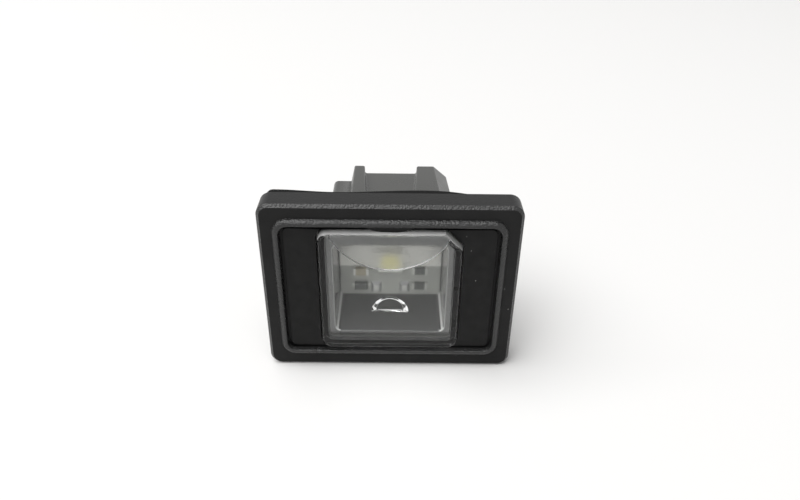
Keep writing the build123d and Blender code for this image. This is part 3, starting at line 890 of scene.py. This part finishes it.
class LAMP_OT_board(Operator):
    """Give the circuit board and its components their finishes"""

    bl_idname = "lamp.board"
    bl_label = "Circuit board"

    def execute(self, context):
        colours = context.scene.lamp_board
        tin = plain_part("tinned_metal", colours.tin_colour, 0.4, metallic=1.0)
        black = plain_part("resistor_black", colours.resistor_colour, 0.4)
        finishes = {
            "circuit_board": self.resist(colours),
            "led_package": plain_part("led_white", colours.package_colour, 0.3),
            "led_phosphor": plain_part("phosphor_yellow", colours.phosphor_colour, 0.25),
            "led_terminals": tin,
            "solder_joints": plain_part("solder", colours.solder_colour, 0.45, metallic=0.7),
            "resistor_bodies": black,
            "resistor_ends": tin,
            "capacitor_body": plain_part("capacitor_tan", colours.capacitor_colour, 0.45),
            "capacitor_ends": tin,
            "diode_body": black,
            "diode_leads": tin,
        }
        for node, material in finishes.items():
            dress(node, material)
        return {"FINISHED"}

    def resist(self, colours):
        """White solder resist above a height and greyer board below it, with a dark line along the
        resist's end as a painted shadow.
        """
        finish = Finish("board_resist").set(Roughness=0.4)
        grain = finish.group(shared(moulded_grain), Size=FINE_GRAIN)
        place = finish.add("ShaderNodeSeparateXYZ")
        finish.tree.links.new(finish.add("ShaderNodeTexCoord").outputs["Object"], place.inputs["Vector"])
        below = math_node(finish.tree, "LESS_THAN", place.outputs["Z"], colours.resist_foot)
        # Painted shadow: the dark line along the resist's end
        line = finish.add("ShaderNodeMath", operation="COMPARE")
        finish.tree.links.new(place.outputs["Z"], line.inputs[0])
        line.inputs[1].default_value = colours.resist_foot
        line.inputs[2].default_value = colours.resist_line / 2
        darker = tuple(channel * LOWER_AND_SHADOW_LINE_SHADE for channel in colours.bare_colour)
        lower_grey = finish.mix(grain.outputs["Tone"], darker, colours.bare_colour)
        covered = finish.mix(below, colours.resist_colour, lower_grey)
        finish.feed(finish.mix(line.outputs["Value"], covered, darker), "Base_Color")
        finish.bump(grain.outputs["Height"], FINE_DEPTH)
        return finish.material


class LAMP_OT_contacts(Operator):
    """Give the contact blades their tin plating"""

    bl_idname = "lamp.contacts"
    bl_label = "Contact blades"

    def execute(self, context):
        plated = plain_part("blade_tin", context.scene.lamp_board.tin_colour, 0.28, metallic=1.0)
        for side in ("positive", "negative"):
            dress(f"contact_blade_{side}", plated)
        return {"FINISHED"}


class LAMP_OT_stage(Operator):
    """Set the white table, the soft light and the camera"""

    bl_idname = "lamp.stage"
    bl_label = "Stage"

    def execute(self, context):
        stage = context.scene.lamp_stage
        self.lay_table(stage)
        self.light(context, stage)
        self.place_camera(context, stage)
        context.scene.view_settings.view_transform = "Standard"
        return {"FINISHED"}

    def lay_table(self, stage):
        """Lay a square white table under the lamp."""
        finish = Finish("table_white").set(Base_Color=stage.table_colour)
        finish.set(Roughness=0.6, Specular_IOR_Level=0.2)
        bm = bmesh.new()
        level = Matrix.Translation((0, 0, CAD_BOX[0].z))
        bmesh.ops.create_grid(bm, x_segments=1, y_segments=1, size=stage.table_size / 2, matrix=level)
        mesh = bpy.data.meshes.new("table")
        bm.to_mesh(mesh)
        bm.free()
        mesh.materials.append(finish.material)
        table = bpy.data.objects.new("table", mesh)
        bpy.context.scene.collection.objects.link(table)

    def light(self, context, stage):
        """Put the lamp in a white room with one large soft light."""
        world = bpy.data.worlds.new("white_room")
        world.use_nodes = True
        tree = world.node_tree
        rays = add_node(tree, "ShaderNodeLightPath")
        seen = math_node(tree, "MAXIMUM", rays.outputs["Is Camera Ray"], rays.outputs["Is Glossy Ray"])
        seen = math_node(tree, "MAXIMUM", seen, rays.outputs["Is Transmission Ray"])
        level = add_node(tree, "ShaderNodeMapRange")
        level.inputs["To Min"].default_value = stage.world_level
        level.inputs["To Max"].default_value = 1.0
        tree.links.new(seen, level.inputs["Value"])
        backdrop = tree.nodes["Background"]
        backdrop.inputs["Color"].default_value = (1, 1, 1, 1)
        tree.links.new(level.outputs["Result"], backdrop.inputs["Strength"])
        context.scene.world = world

        lamp = bpy.data.lights.new("key", "AREA")
        lamp.size = stage.key_size
        lamp.energy = stage.key_power
        key = bpy.data.objects.new("key", lamp)
        key.location = stage.key_place
        key.rotation_euler = (-Vector(stage.key_place)).to_track_quat("-Z", "Y").to_euler()
        context.scene.collection.objects.link(key)

    def place_camera(self, context, stage):
        """Look down at the lens from the front."""
        lens = bpy.data.cameras.new("camera")
        lens.lens = stage.focal_length
        lens.clip_start = 5 * MM
        camera = bpy.data.objects.new("camera", lens)
        view = Vector(stage.camera_aim) - Vector(stage.camera_place)
        turn = view.to_track_quat("-Z", "Y").to_matrix() @ Matrix.Rotation(stage.camera_roll, 3, "Z")
        camera.location = stage.camera_place
        camera.rotation_euler = turn.to_euler()
        context.scene.collection.objects.link(camera)
        context.scene.camera = camera


PIECES = (LAMP_OT_bezel, LAMP_OT_lens, LAMP_OT_housing, LAMP_OT_gasket, LAMP_OT_board, LAMP_OT_contacts)
SETTINGS = {
    "lamp_bezel": LampBezelSettings,
    "lamp_lens": LampLensSettings,
    "lamp_housing": LampHousingSettings,
    "lamp_board": LampBoardSettings,
    "lamp_stage": LampStageSettings,
}


class LAMP_PT_sidebar(Panel):
    """Lists the lamp's pieces and their settings"""

    bl_label = "Number plate lamp"
    bl_idname = "LAMP_PT_sidebar"
    bl_space_type = "VIEW_3D"
    bl_region_type = "UI"
    bl_category = "Lamp"

    def draw(self, context):
        for operator in PIECES + (LAMP_OT_stage,):
            self.layout.operator(operator.bl_idname)
        for name, group in SETTINGS.items():
            box = self.layout.box()
            for field in group.__annotations__:
                box.prop(getattr(context.scene, name), field)


CLASSES = (*SETTINGS.values(), *PIECES, LAMP_OT_stage, LAMP_PT_sidebar)


def register():
    for cls in CLASSES:
        bpy.utils.register_class(cls)
    for name, group in SETTINGS.items():
        setattr(bpy.types.Scene, name, PointerProperty(type=group))


def unregister():
    for name in SETTINGS:
        delattr(bpy.types.Scene, name)
    for cls in reversed(CLASSES):
        bpy.utils.unregister_class(cls)


def main():
    register()
    bpy.ops.lamp.bezel()
    bpy.ops.lamp.lens()
    bpy.ops.lamp.housing()
    bpy.ops.lamp.gasket()
    bpy.ops.lamp.board()
    bpy.ops.lamp.contacts()
    bpy.ops.lamp.stage()


if __name__ == "__main__":
    main()
